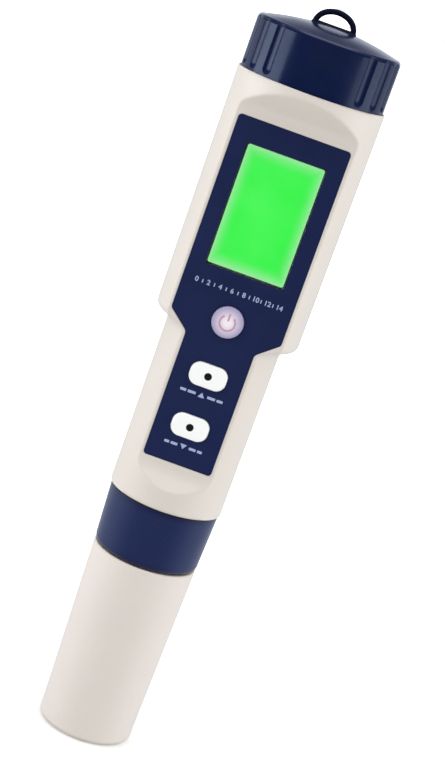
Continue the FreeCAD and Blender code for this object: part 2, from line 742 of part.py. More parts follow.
# =========================================================== electrode collar
def electrode_collar():
    collar = turned([
        (0, Z_COLLAR_BOT), (12.15, Z_COLLAR_BOT),
        (13.21, Z_COLLAR_BOT + 0.44, ARC), (R_COLLAR_BOT, Z_COLLAR_BOT + 1.5),
        (R_COLLAR_TOP, Z_COLLAR_TOP - 0.3), (R_COLLAR_TOP - 0.3, Z_COLLAR_TOP),
        (0, Z_COLLAR_TOP)])
    collar = collar.cut(cyl(R_COLLAR_BORE, 52.2, 70)).cut(cyl(R_PROBE_CAP_BORE, 40, 60))
    z_thread = Z_COLLAR_THREAD + COLLAR_THREAD["pitch"] / 2
    return collar.fuse(thread_ridge(R_COLLAR_BORE, 12.15, z_thread, 3.0, **COLLAR_THREAD))


save("electrode_collar", electrode_collar())

# =========================================================== electrode module
# places (x, y) of the sensing elements
GLASS_XY = (-2.8, 0.0)
EC_PINS = [(3.6, 2.7), (3.6, -2.7)]
TEMP_XY = (5.9, 0.0)
JUNCTION_XY = (1.9, 5.6)
# outer half section, (r, z)
BODY_PROFILE = [
    (0, 13.5), (8.9, 13.5), (9.6, 14.2), (9.6, 32.5), (11.0, 35.8), (11.0, 41.5),
    (10.0, 41.5), (10.0, 43.5), (11.0, 43.5), (11.0, 52.3), (12.05, 52.3), (12.05, 54.4),
    (10.05, 54.4), (10.05, 56.2), (9.05, 56.2), (9.05, 58.2), (10.05, 58.2), (10.05, 63.4),
    (9.45, 64.0), (0, 64.0)]


def electrode_body():
    body = turned(BODY_PROFILE)
    body = body.cut(cyl(8.0, 10, 26.5))
    body = body.cut(cyl(8.4, 31.0, 70))
    # four windows in the bulb guard, from two crossed slots
    for angle in (45, 135):
        slot = post(12, 3.3, 16.2, 24.2)
        slot.rotate(Vector(0, 0, 0), Vector(0, 0, 1), angle)
        body = body.cut(slot)
    # holes for the sensing elements
    body = body.cut(cyl(3.93, 20, 40, *GLASS_XY))
    for x, y in EC_PINS:
        body = body.cut(cyl(0.93, 20, 40, x, y))
    body = body.cut(cyl(1.13, 20, 40, *TEMP_XY))
    body = body.cut(cyl(1.23, 20, 40, *JUNCTION_XY))
    # key of the plug
    return body.fuse(box(-0.7, 0.7, 9.6, 10.75, 58.4, 62.8)).removeSplitter()


def glass_bulb():
    """Thin bulb blown on the end of a tube, open at the top."""
    r_bulb, r_stem = 4.4, 3.9
    r_bulb_in, r_stem_in = r_bulb - 0.45, r_stem - 0.7
    z_bulb = 19.6
    z_top = 45.0

    def bulb_mid(r):
        return (r * math.cos(-0.5), z_bulb + r * math.sin(-0.5), ARC)

    def neck_z(r, r_neck):
        return z_bulb + math.sqrt(r ** 2 - r_neck ** 2)

    return turned([
        (0, z_bulb - r_bulb), bulb_mid(r_bulb), (r_stem, neck_z(r_bulb, r_stem)),
        (r_stem, z_top), (r_stem_in, z_top),
        (r_stem_in, neck_z(r_bulb_in, r_stem_in)), bulb_mid(r_bulb_in),
        (0, z_bulb - r_bulb_in)], *GLASS_XY)


def pin_header():
    header = cyl(8.36, 60.0, 62.9)
    for x, y in PINS:
        header = header.cut(cyl(0.36, 59, 65, x, y))
    return header


def electrode_lead(start_xy, z_start, pin):
    """Lead that eases across from an element to a header pin."""
    x, y = start_xy
    x_pin, y_pin = PINS[pin]
    points = []
    for t in (0, 0.25, 0.5, 0.75, 1):
        ease = t * t * (3 - 2 * t)
        points.append((x + (x_pin - x) * ease, y + (y_pin - y) * ease,
                       z_start + (59.18 - z_start) * t))
    return wire(points, 0.34)


save("electrode_body", electrode_body())
save("plug_seal_ring", torus(9.63, 0.54, 57.2))
save("cap_grip_ring", torus(10.53, 0.515, 42.5))
save("ph_glass_bulb", glass_bulb())
save("measuring_wire", cyl(0.35, 18.0, 52.0, *GLASS_XY))
save_group("conductivity_pins", [cyl(0.9, 21.5, 37.0, x, y) for x, y in EC_PINS])
save("temperature_probe", cyl(1.1, 19.6, 37.0, *TEMP_XY).fuse(
    ball(1.1, *TEMP_XY, 19.6)).removeSplitter())
save("reference_junction", cyl(1.2, 26.0, 31.8, *JUNCTION_XY))
save("pin_header", pin_header())
save_group("electrode_pins", [cyl(0.35, 59.2, 69.9, x, y) for x, y in PINS])
save_group("electrode_leads", [
    electrode_lead(GLASS_XY, 52.02, 3), electrode_lead(EC_PINS[0], 37.02, 1),
    electrode_lead(EC_PINS[1], 37.02, 5), electrode_lead(TEMP_XY, 37.02, 0),
    electrode_lead(JUNCTION_XY, 31.82, 2)])


# ================================================================= probe cap
def probe_cap():
    r_top, r_mid, r_bot = 13.60, 12.95, 12.35
    z_top = 49.6
    z_floor = 2.0
    return turned([
        (0, 0), (r_bot - 1.5, 0), (r_bot - 0.44, 0.44, ARC), (r_bot, 1.5),
        (r_mid, 24.6), (r_top, z_top - 0.3), (r_top - 0.3, z_top), (11.4, z_top),
        (R_PROBE_CAP_BORE, z_top - 0.5), (R_PROBE_CAP_BORE, 31.5),
        (10.3, z_floor), (0, z_floor)])


save("probe_cap", probe_cap())
save("storage_sponge", turned([
    (0, 2.05), (9.9, 2.05), (10.15, 2.4), (10.2, 11.4), (9.9, 11.9), (0, 11.9)]))
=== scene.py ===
"""Pocket pH meter with a sponge in its probe cap, standing in a pale studio.

The meter stands along +Z with its display and keys facing -Y. The scene is in metres;
printed graphics and the camera are given in millimetres and scaled by MM.
"""

import bpy
import bmesh
import math
import random
from mathutils import Vector, Matrix, noise

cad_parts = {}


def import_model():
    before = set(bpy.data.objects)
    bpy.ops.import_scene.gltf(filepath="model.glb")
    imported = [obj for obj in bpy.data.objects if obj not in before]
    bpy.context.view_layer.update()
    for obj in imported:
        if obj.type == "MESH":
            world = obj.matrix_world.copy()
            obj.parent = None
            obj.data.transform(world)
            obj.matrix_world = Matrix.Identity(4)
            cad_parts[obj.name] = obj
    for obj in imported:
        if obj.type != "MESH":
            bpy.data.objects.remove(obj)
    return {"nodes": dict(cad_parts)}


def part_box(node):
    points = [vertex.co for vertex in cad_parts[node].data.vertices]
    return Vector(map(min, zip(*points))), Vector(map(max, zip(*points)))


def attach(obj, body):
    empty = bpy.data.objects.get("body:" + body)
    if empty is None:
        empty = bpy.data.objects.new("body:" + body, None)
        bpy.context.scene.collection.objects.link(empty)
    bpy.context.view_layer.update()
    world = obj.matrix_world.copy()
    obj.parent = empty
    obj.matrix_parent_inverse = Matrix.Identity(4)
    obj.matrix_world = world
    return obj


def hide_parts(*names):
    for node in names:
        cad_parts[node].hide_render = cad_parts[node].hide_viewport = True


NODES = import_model()["nodes"]
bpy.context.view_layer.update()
random.seed(7)  # keeps any random draws repeatable
MM = 0.001


# --------------------------------------------------------------------------
# Colours and shader nodes
# --------------------------------------------------------------------------
def linear(channel):
    """One sRGB channel, 0 to 255, as linear light."""
    channel = channel / 255.0
    return channel / 12.92 if channel <= 0.04045 else ((channel + 0.055) / 1.055) ** 2.4


def rgb(red, green, blue):
    return (linear(red), linear(green), linear(blue), 1.0)


def scaled(colour, factor):
    return (*(min(1, channel * factor) for channel in colour[:3]), 1.0)


class Nodes:
    """Short calls for wiring a node tree. Inputs take either a number or another socket."""

    def __init__(self, owner, output_kind, coordinates):
        owner.use_nodes = True
        self.tree = owner.node_tree
        self.tree.nodes.clear()
        self.output = self.add(output_kind)
        self.position = self.add("ShaderNodeTexCoord").outputs[coordinates]

    def put(self, socket, value):
        if isinstance(value, bpy.types.NodeSocket):
            self.tree.links.new(value, socket)
        else:
            socket.default_value = value

    def add(self, kind, inputs=None, **settings):
        node = self.tree.nodes.new(kind)
        for key, value in settings.items():
            setattr(node, key, value)
        for socket, value in (inputs or {}).items():
            self.put(node.inputs[socket], value)
        return node

    def xyz(self):
        return self.add("ShaderNodeSeparateXYZ", {0: self.position}).outputs

    def math(self, operation, a, b=None, clamp=False):
        inputs = {0: a} if b is None else {0: a, 1: b}
        return self.add("ShaderNodeMath", inputs, operation=operation, use_clamp=clamp).outputs[0]

    def remap(self, value, source, target=(0.0, 1.0), smooth=False):
        """Carry the source range of value onto the target range, clamped."""
        inputs = {"Value": value, "From Min": source[0], "From Max": source[1],
                  "To Min": target[0], "To Max": target[1]}
        kind = "SMOOTHSTEP" if smooth else "LINEAR"
        return self.add("ShaderNodeMapRange", inputs, interpolation_type=kind).outputs["Result"]

    def mix_shader(self, factor, first, second):
        return self.add("ShaderNodeMixShader", {0: factor, 1: first, 2: second}).outputs[0]

    def glow(self, kind, colour, strength):
        """An Emission or Background shader."""
        return self.add("ShaderNode" + kind, {"Color": colour, "Strength": strength}).outputs[0]


class Mat(Nodes):
    """A material built around one Principled shader, textured in object coordinates.

    Texture scales are in cells per metre.
    """

    def __init__(self, name):
        self.mat = bpy.data.materials.new(name)
        super().__init__(self.mat, "ShaderNodeOutputMaterial", "Object")
        self.shader = self.add("ShaderNodeBsdfPrincipled")
        self.put(self.output.inputs["Surface"], self.shader.outputs["BSDF"])

    def surface(self, **values):
        """Set Principled inputs; underscores stand for spaces."""
        for key, value in values.items():
            self.put(self.shader.inputs[key.replace("_", " ")], value)

    def current(self, socket):
        """What is now linked to a Principled input."""
        return self.shader.inputs[socket].links[0].from_socket

    def tint(self, amount, colour):
        """Lay a colour over the finished base colour."""
        self.surface(Base_Color=self.mix(amount, self.current("Base Color"), colour))

    def noise(self, scale, detail=2.0, rough=0.5, distortion=0.0, position=None):
        inputs = {"Scale": scale, "Detail": detail, "Roughness": rough,
                  "Distortion": distortion, "Vector": position or self.position}
        return self.add("ShaderNodeTexNoise", inputs).outputs["Fac"]

    def voronoi(self, scale, feature="F1", position=None, output="Distance"):
        inputs = {"Scale": scale, "Vector": position or self.position}
        return self.add("ShaderNodeTexVoronoi", inputs, feature=feature).outputs[output]

    def stretched(self, scale):
        """Position scaled differently along each axis."""
        inputs = {"Vector": self.position, "Scale": scale}
        return self.add("ShaderNodeMapping", inputs).outputs["Vector"]

    def scratches(self, stretch, distortion, span, depth=1.0):
        """Sparse long streaks, 0 between them and up to depth on them."""
        streaks = self.noise(1.0, detail=1.0, rough=0.4, distortion=distortion,
                             position=self.stretched(stretch))
        return self.remap(streaks, span, (0.0, depth))

    def sawtooth(self, coordinate, per_metre):
        return self.math("FRACT", self.math("MULTIPLY", coordinate, per_metre))

    def distance(self, coordinate, centre):
        return self.math("ABSOLUTE", self.math("SUBTRACT", coordinate, centre))

    def mix(self, factor, first, second):
        inputs = {"Factor": factor, 6: first, 7: second}
        return self.add("ShaderNodeMix", inputs, data_type="RGBA").outputs[2]

    def fade(self, pattern, span, first, second, most=1.0):
        """Go from the first colour towards the second as the pattern crosses the span."""
        return self.mix(self.remap(pattern, span, (0.0, most)), first, second)

    def bump(self, height, distance, strength=1.0, over=None):
        inputs = {"Strength": strength, "Distance": distance, "Height": height}
        if over is not None:
            inputs["Normal"] = over
        return self.add("ShaderNodeBump", inputs).outputs["Normal"]

    def round_edges(self, radius, samples=4):
        return self.add("ShaderNodeBevel", {"Radius": radius}, samples=samples).outputs["Normal"]

    def edge_mask(self, rounded):
        """1 on sharp corners, 0 on flats."""
        true_normal = self.add("ShaderNodeNewGeometry").outputs["Normal"]
        dot = self.add("ShaderNodeVectorMath", {0: rounded, 1: true_normal},
                       operation="DOT_PRODUCT")
        return self.remap(dot.outputs["Value"], (0.985, 0.86))

    def crevice(self, reach):
        """1 in open areas, towards 0 in seams and corners."""
        node = self.add("ShaderNodeAmbientOcclusion", {"Distance": reach}, samples=6)
        return node.outputs["AO"]


# --------------------------------------------------------------------------
# Moulded plastics
# --------------------------------------------------------------------------
def soft_scoop_ends(m, rounded, radius):
    """Round the front more widely, so the scoops at the ends of its flat run out softly."""
    front = m.remap(m.xyz()[1], (-0.0100, -0.0106))
    inputs = {"Factor": front, 4: rounded, 5: m.round_edges(radius, samples=8)}
    return m.add("ShaderNodeMix", inputs, data_type="VECTOR").outputs[1]


def moulded(name, colour, rough, variation, seam_shade_and_dust, seam_shade_and_dust_amount, seam_shade_and_dust_reach=0.0016, wear=None,
            wear_amount=0.35, grain=2600.0, grain_depth=0.000012, wave_depth=0.00002,
            streak=0.25, specular=0.5, soft_radius=0.0):
    """Injection-moulded plastic: cloudy colour, moulding grain, faint waviness from shrinkage,
    handling smudges in the gloss, a soft worn edge and a patchy seam colour: painted shade
    where it is darker than the plastic, dust where it is lighter."""
    m = Mat(name)
    # cloudy colour, then fine darker speckle
    base = m.fade(m.noise(38.0, detail=3.0, rough=0.55, distortion=0.3), (0.3, 0.7),
                  scaled(colour, 1 - variation), scaled(colour, 1 + variation * 0.7))
    base = m.fade(m.noise(900.0, rough=0.6), (0.35, 0.65), base,
                  scaled(colour, 1 - variation * 1.2), most=0.5)
    rounded = m.round_edges(0.00018)
    if wear is not None:
        # broken wear along the edges
        broken = m.remap(m.noise(420.0, detail=4.0, rough=0.7), (0.38, 0.66), (0.0, wear_amount))
        base = m.mix(m.math("MULTIPLY", m.edge_mask(rounded), broken), base, wear)
    # patchy colour in the seams from the occlusion mask: painted shade where it is darker, dust
    # where lighter
    seams = m.remap(m.crevice(seam_shade_and_dust_reach), (0.92, 0.25), (0.0, seam_shade_and_dust_amount))
    patches = m.remap(m.noise(160.0, detail=3.0, rough=0.6), (0.3, 0.75), (0.55, 1.0))
    base = m.mix(m.math("MULTIPLY", seams, patches), base, seam_shade_and_dust)
    # smudges and fine handling scratches in the gloss
    smudges = m.noise(70.0, detail=4.0, rough=0.62, distortion=1.2)
    scratch = m.scratches((90.0, 90.0, 2600.0), distortion=0.6, span=(0.72, 0.80), depth=streak)
    gloss = m.math("ADD", m.remap(smudges, (0.3, 0.72), (rough - 0.05, rough + 0.09)),
                   m.math("MULTIPLY", scratch, 0.18), clamp=True)
    # relief: shrinkage waves, mould grain, scratches
    normal = soft_scoop_ends(m, rounded, soft_radius) if soft_radius else rounded
    normal = m.bump(m.noise(55.0, rough=0.4), distance=wave_depth, over=normal)
    normal = m.bump(m.noise(grain, rough=0.6), distance=grain_depth, over=normal)
    normal = m.bump(m.math("MULTIPLY", scratch, -1.0), distance=0.000003,
                    strength=min(0.2, 0.8 * streak), over=normal)
    m.surface(Base_Color=base, Roughness=gloss, Normal=normal, Specular_IOR_Level=specular,
              Coat_Roughness=0.12)
    return m


def add_mould_seam(m):
    """Witness line where the two mould halves met, down each side."""
    line = m.remap(m.math("ABSOLUTE", m.xyz()[1]), (0.00003, 0.00009), (1.0, 0.0))
    m.surface(Normal=m.bump(line, distance=0.00002, strength=0.7, over=m.current("Normal")))


def darken_rims(m, bottom, top, width, colour):
    """Painted shade along both rims of a ring."""
    z = m.xyz()[2]
    rims = m.math("MAXIMUM", m.remap(z, (bottom, bottom + width), (1.0, 0.0)),
                  m.remap(z, (top - width, top)))
    m.tint(m.math("MULTIPLY", rims, 0.6), colour)


def darken_loop(m, loop_bottom, specular):
    """The strap loop darkened almost to black, with painted shade on the strip it stands on,
    which is also made duller.
    """
    x, y, z = m.xyz()
    loop = m.remap(z, (loop_bottom, loop_bottom + 0.0002))
    # the strip: narrow in y, long in x, starting just below the loop
    strip = m.math("MULTIPLY", m.remap(m.math("ABSOLUTE", y), (0.0011, 0.0017), (1.0, 0.0)),
                   m.remap(m.math("ABSOLUTE", x), (0.0050, 0.0058), (1.0, 0.0)))
    strip = m.math("MULTIPLY", strip, m.remap(z, (loop_bottom - 0.0008, loop_bottom - 0.0006)))
    # painted shade on the strip at the loop's foot; the loop itself darkened almost to black
    m.tint(m.math("MULTIPLY", m.math("MAXIMUM", loop, strip), 0.62), rgb(8, 9, 18))
    duller = m.math("MULTIPLY", strip, 0.25)
    m.surface(Roughness=m.math("ADD", m.current("Roughness"), duller, clamp=True),
              Specular_IOR_Level=m.remap(strip, (0.0, 1.0), (specular, 0.12)))


def vignette(m, centre, radii, colour, amount):
    """Painted shade on a round key, deepening towards its edge; centre is (x, z), radii are
    (inner, outer).
    """
    x, _, z = m.xyz()
    dx = m.math("SUBTRACT", x, centre[0])
    dz = m.math("SUBTRACT", z, centre[1])
    squares = m.math("ADD", m.math("MULTIPLY", dx, dx), m.math("MULTIPLY", dz, dz))
    m.tint(m.remap(m.math("SQRT", squares), radii, (0.0, amount)), colour)


# painted shade for the seams of the white parts and of the collar; the collar's colour also
# shades its rims
WHITE_SEAM_SHADE = rgb(150, 138, 128)
WHITE_WEAR = rgb(250, 247, 242)
NAVY_WEAR = rgb(86, 94, 140)
COLLAR_SHADE = rgb(10, 12, 24)
CAP_SPECULAR = 0.6
STRAP_LOOP_HEIGHT = 0.0043

shell = moulded("shell_white_abs", rgb(219, 213, 206), rough=0.36, variation=0.02,
                seam_shade_and_dust=WHITE_SEAM_SHADE, seam_shade_and_dust_amount=0.5, seam_shade_and_dust_reach=0.0012, wear=WHITE_WEAR,
                wear_amount=0.3, soft_radius=0.0011)
add_mould_seam(shell)
probe_white = moulded("probe_cap_white_abs", rgb(224, 217, 211), rough=0.40, variation=0.025,
                      seam_shade_and_dust=WHITE_SEAM_SHADE, seam_shade_and_dust_amount=0.5, seam_shade_and_dust_reach=0.0012, wear=WHITE_WEAR,
                      wear_amount=0.3)
navy = moulded("navy_abs", rgb(21, 36, 84), rough=0.22, variation=0.06, seam_shade_and_dust=COLLAR_SHADE,
               seam_shade_and_dust_amount=0.8, seam_shade_and_dust_reach=0.0024, wear=NAVY_WEAR, wear_amount=0.4,
               specular=0.55, wave_depth=0.00003, streak=0.0)
collar_lo, collar_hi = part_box("electrode_collar")
# painted shade along the collar's top and bottom rims
darken_rims(navy, collar_lo.z, collar_hi.z, width=0.0020, colour=COLLAR_SHADE)
# the battery cap is glossier than the collar; it is the same navy plastic, and its darker colour
# is painted shade
shaded_cap_navy = moulded("shaded_navy_cap_abs", rgb(11, 25, 64), rough=0.16, variation=0.06,
                   seam_shade_and_dust=rgb(8, 9, 20), seam_shade_and_dust_amount=0.7, seam_shade_and_dust_reach=0.0018, wear=NAVY_WEAR,
                   wear_amount=0.4, specular=CAP_SPECULAR, wave_depth=0.00003, streak=0.10)
darken_loop(shaded_cap_navy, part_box("battery_cap")[1].z - STRAP_LOOP_HEIGHT, CAP_SPECULAR)
key_white = moulded("key_white", rgb(250, 254, 254), rough=0.42, variation=0.015,
                    seam_shade_and_dust=rgb(120, 122, 135), seam_shade_and_dust_amount=0.5, seam_shade_and_dust_reach=0.0008,
                    wear=rgb(255, 255, 255), wear_amount=0.2, grain=3600.0)
key_power = moulded("key_power", rgb(246, 236, 246), rough=0.40, variation=0.02,
                    seam_shade_and_dust=rgb(120, 110, 130), seam_shade_and_dust_amount=0.5, seam_shade_and_dust_reach=0.0008, grain=3600.0)
# painted shade round the power key's edge
vignette(key_power, centre=(0.0, 0.1158), radii=(0.0008, 0.0036), colour=rgb(158, 152, 192),
         amount=0.9)
black = moulded("black_nylon", rgb(26, 27, 30), rough=0.46, variation=0.1,
                seam_shade_and_dust=rgb(60, 57, 52), seam_shade_and_dust_amount=0.25, wear=rgb(80, 80, 84), wear_amount=0.4,
                grain=3000.0, grain_depth=0.00002)
inner_white = moulded("inner_white_nylon", rgb(228, 228, 222), rough=0.5, variation=0.03,
                      seam_shade_and_dust=rgb(150, 148, 140), seam_shade_and_dust_amount=0.3)
electrode = moulded("electrode_polycarbonate", rgb(38, 42, 52), rough=0.3, variation=0.08,
                    seam_shade_and_dust=rgb(120, 118, 110), seam_shade_and_dust_amount=0.25, seam_shade_and_dust_reach=0.001,
                    wear=rgb(96, 100, 112), wear_amount=0.4)


# --------------------------------------------------------------------------
# Film, display and clear parts
# --------------------------------------------------------------------------
def overlay_film():
    """Printed polycarbonate overlay: navy ink under a fine-textured film with a faint sheen."""
    m = Mat("overlay_film")
    colour = rgb(14, 31, 80)
    base = m.fade(m.noise(60.0, detail=3.0), (0.3, 0.7), scaled(colour, 0.90),
                  scaled(colour, 1.12))
    # halftone speckle in the ink, a painted highlight along the edges, painted shade in the seams
    base = m.fade(m.voronoi(5200.0), (0.1, 0.5), base, scaled(colour, 0.7), most=0.10)
    rounded = m.round_edges(0.00012)
    # painted highlight along the film's edges
    base = m.mix(m.math("MULTIPLY", m.edge_mask(rounded), 0.35), base, rgb(70, 80, 126))
    # painted shade in the seams round the film
    base = m.fade(m.crevice(0.0009), (0.9, 0.3), base, rgb(10, 12, 26), most=0.6)
    smudges = m.noise(48.0, detail=4.0, rough=0.6, distortion=1.0)
    normal = m.bump(m.voronoi(6500.0), distance=0.000009, over=rounded)
    normal = m.bump(m.noise(90.0), distance=0.000012, over=normal)
    m.surface(Base_Color=base, Roughness=m.remap(smudges, (0.3, 0.7), (0.40, 0.52)),
              Normal=normal, Specular_IOR_Level=0.28)
    return m


def lcd_panel():
    """Backlit liquid crystal panel: even green field, a little brighter round the edge where the
    light guide scatters, with the fine cell grid and a polariser sheen."""
    m = Mat("lcd_backlit")
    lo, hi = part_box("display_window")
    x, _, z = m.xyz()
    edge_x = m.remap(m.distance(x, 0.0), (0.0064, 0.0096))
    edge_z = m.remap(m.distance(z, (lo.z + hi.z) / 2), (0.0112, 0.0148))
    edge = m.math("POWER", m.math("MAXIMUM", edge_x, edge_z), 2.2)
    cloud = m.noise(75.0)
    field = m.fade(cloud, (0.35, 0.65), rgb(66, 250, 82), rgb(84, 255, 98))
    field = m.mix(m.math("MULTIPLY", edge, 0.95), field, rgb(160, 240, 166))
    # cell grid, barely darker lines
    cells_per_metre = 4000.0
    line_start = 0.9
    lines = [m.math("GREATER_THAN", m.sawtooth(axis, cells_per_metre), line_start)
             for axis in (x, z)]
    grid = m.math("MAXIMUM", *lines)
    field = m.mix(m.math("MULTIPLY", grid, 0.10), field, rgb(30, 190, 50))
    m.surface(Base_Color=m.mix(0.5, field, rgb(20, 60, 28)),
              Roughness=m.remap(cloud, (0.3, 0.7), (0.16, 0.24)),
              Emission_Color=field, Emission_Strength=0.92,
              Normal=m.bump(m.noise(3000.0), distance=0.000003))
    return m


def clear(name, tint, rough=0.02, ior=1.49, scratched=True):
    """Clear plastic or glass with smudges and, if scratched, fine scratches."""
    m = Mat(name)
    smudges = m.noise(80.0, detail=4.0, rough=0.6, distortion=1.0)
    m.surface(Base_Color=m.fade(m.noise(30.0), (0.3, 0.7), tint, scaled(tint, 0.97)),
              Roughness=m.remap(smudges, (0.35, 0.75), (rough, rough + 0.06)),
              IOR=ior, Transmission_Weight=1.0)
    if scratched:
        scratch = m.scratches((2400.0, 90.0, 160.0), distortion=0.8, span=(0.74, 0.8))
        m.surface(Normal=m.bump(m.math("MULTIPLY", scratch, -1.0), distance=0.000004,
                                strength=0.3))
    return m


film = overlay_film()
lcd = lcd_panel()
window = clear("window_polycarbonate", (0.97, 1.0, 0.98, 1.0))
light_guide = clear("light_guide_acrylic", (0.85, 1.0, 0.88, 1.0), rough=0.25)
bulb_glass = clear("ph_glass", (0.93, 0.99, 0.96, 1.0), rough=0.0, ior=1.5, scratched=False)


# --------------------------------------------------------------------------
# Metals
# --------------------------------------------------------------------------
def metal(name, colour, rough, brush=(400.0, 400.0, 4000.0), tarnish=None):
    """Bright metal with drawn or turned marks, tarnish clouds and small dings."""
    m = Mat(name)
    clouds = m.noise(240.0, detail=4.0, rough=0.65, distortion=0.5)
    marks = m.noise(1.0, rough=0.6, position=m.stretched(brush))
    normal = m.bump(marks, distance=0.000004, over=m.round_edges(0.0001))
    normal = m.bump(m.noise(1500.0, detail=3.0), distance=0.000004, strength=0.6, over=normal)
    m.surface(Base_Color=m.fade(clouds, (0.3, 0.75), colour, tarnish or scaled(colour, 0.72)),
              Roughness=m.remap(marks, (0.3, 0.7), (rough - 0.08, rough + 0.08)),
              Normal=normal, Metallic=1.0)
    return m


steel = metal("stainless_steel", (0.66, 0.66, 0.68, 1), rough=0.24)
cell_can = metal("cell_can_nickel", (0.74, 0.73, 0.70, 1), rough=0.22,
                 brush=(3000.0, 3000.0, 300.0))
nickel = metal("nickel_plate", (0.70, 0.67, 0.60, 1), rough=0.26)
gold = metal("gold_plate", (0.93, 0.68, 0.26, 1), rough=0.22, tarnish=(0.80, 0.52, 0.18, 1))
silver = metal("silver_chloride_wire", (0.62, 0.60, 0.60, 1), rough=0.42,
               tarnish=(0.22, 0.20, 0.22, 1))


# --------------------------------------------------------------------------
# Electronics, rubber, ceramic and sponge
# --------------------------------------------------------------------------
def circuit_board():
    """Solder-masked circuit board: woven glass showing through the mask, copper runs and pads."""
    m = Mat("circuit_board")
    x, _, z = m.xyz()
    weave = m.math("MULTIPLY", *(m.math("SINE", m.math("MULTIPLY", axis, 9000.0))
                                 for axis in (x, z)))
    base = m.fade(weave, (-1, 1), rgb(18, 92, 44), rgb(40, 128, 66), most=0.35)
    # copper runs and pads come from cell patterns snapped to a grid
    grid = m.add("ShaderNodeVectorMath", {0: m.position, 1: (0.0012, 1.0, 0.0012)},
                 operation="SNAP").outputs["Vector"]
    runs = m.math("LESS_THAN", m.voronoi(170.0, "DISTANCE_TO_EDGE", grid), 0.05)
    base = m.mix(m.math("MULTIPLY", runs, 0.7), base, rgb(64, 158, 84))
    pads = m.math("LESS_THAN", m.voronoi(260.0, position=grid), 0.12)
    base = m.mix(pads, base, rgb(205, 180, 120))
    relief = m.math("ADD", m.math("MULTIPLY", weave, 0.2), runs)
    m.surface(Base_Color=base, Roughness=m.remap(weave, (-1, 1), (0.28, 0.42)),
              Normal=m.bump(relief, distance=0.00002))
    return m


def rubber(name, colour, rough=0.62):
    """Dull rubber with a little dust."""
    m = Mat(name)
    cloud = m.noise(300.0, detail=4.0, rough=0.6)
    base = m.fade(cloud, (0.3, 0.7), scaled(colour, 0.8), scaled(colour, 1.25))
    base = m.fade(m.noise(900.0, detail=4.0, rough=0.7), (0.55, 0.75), base,
                  rgb(150, 148, 142), most=0.12)
    m.surface(Base_Color=base, Roughness=m.remap(cloud, (0.3, 0.7), (rough - 0.08, rough + 0.1)),
              Normal=m.bump(m.noise(4200.0, detail=3.0, rough=0.7), distance=0.00001,
                            over=m.round_edges(0.00008)),
              Specular_IOR_Level=0.35)
    return m


def zebra_layers():
    """Zebra strip: hair-thin conductive and insulating layers along the strip."""
    m = Mat("zebra_layers")
    layers = m.math("GREATER_THAN", m.sawtooth(m.xyz()[0], 5000.0), 0.5)
    base = m.mix(layers, rgb(30, 30, 32), rgb(208, 196, 180))
    m.surface(Base_Color=m.fade(m.noise(800.0), (0.3, 0.7), base, rgb(90, 86, 80), most=0.25),
              Roughness=m.remap(m.noise(600.0), (0.3, 0.7), (0.5, 0.7)),
              Normal=m.bump(layers, distance=0.00001, strength=0.6))
    return m


def porous_ceramic():
    """Pale ceramic with painted shade in its pores."""
    m = Mat("porous_ceramic")
    pores = m.voronoi(4200.0)
    grit = m.noise(1400.0, detail=5.0, rough=0.7)
    # painted shade in the pores
    base = m.mix(m.remap(pores, (0.05, 0.5), (1.0, 0.0)), rgb(232, 226, 212),
                 rgb(176, 166, 148))
    base = m.fade(grit, (0.35, 0.7), base, rgb(214, 204, 186), most=0.5)
    m.surface(Base_Color=base, Roughness=m.remap(grit, (0.3, 0.7), (0.7, 0.92)),
              Normal=m.bump(m.math("ADD", pores, grit), distance=0.00004))
    return m


def sponge_foam():
    """Damp open-cell sponge."""
    m = Mat("sponge_foam")
    pores = m.voronoi(1500.0)
    small_pores = m.voronoi(3600.0)
    base = m.fade(m.noise(220.0, detail=4.0, rough=0.6), (0.3, 0.7), rgb(238, 206, 104),
                  rgb(248, 224, 140))
    # painted shade in the pores
    base = m.mix(m.remap(pores, (0.02, 0.35), (0.75, 0.0)), base, rgb(168, 128, 44))
    relief = m.math("ADD", pores, m.math("MULTIPLY", small_pores, 0.5))
    m.surface(Base_Color=base,
              Roughness=m.remap(m.noise(90.0), (0.35, 0.65), (0.45, 0.85)),  # wet patches
              Normal=m.bump(relief, distance=0.00025),
              Subsurface_Weight=0.15, Subsurface_Radius=(0.002, 0.0016, 0.0008))
    return m


def chip_package():
    """Chip package: moulded epoxy body with tinned legs outside its square outline."""
    m = Mat("chip_epoxy")
    centre_z, body_half = 0.137, 0.00505
    x, _, z = m.xyz()
    outward = m.math("MAXIMUM", m.math("ABSOLUTE", x), m.distance(z, centre_z))
    legs = m.math("GREATER_THAN", outward, body_half)
    grit = m.noise(2600.0, detail=4.0, rough=0.7)
    body = m.fade(grit, (0.3, 0.7), rgb(30, 31, 34), rgb(46, 47, 50))
    body_rough, leg_rough = (0.62, 0.62, 0.62, 1), (0.3, 0.3, 0.3, 1)
    m.surface(Base_Color=m.mix(legs, body, rgb(196, 196, 200)),
              Roughness=m.mix(legs, body_rough, leg_rough), Metallic=legs,
              Normal=m.bump(grit, distance=0.00001, over=m.round_edges(0.00008)))
    return m


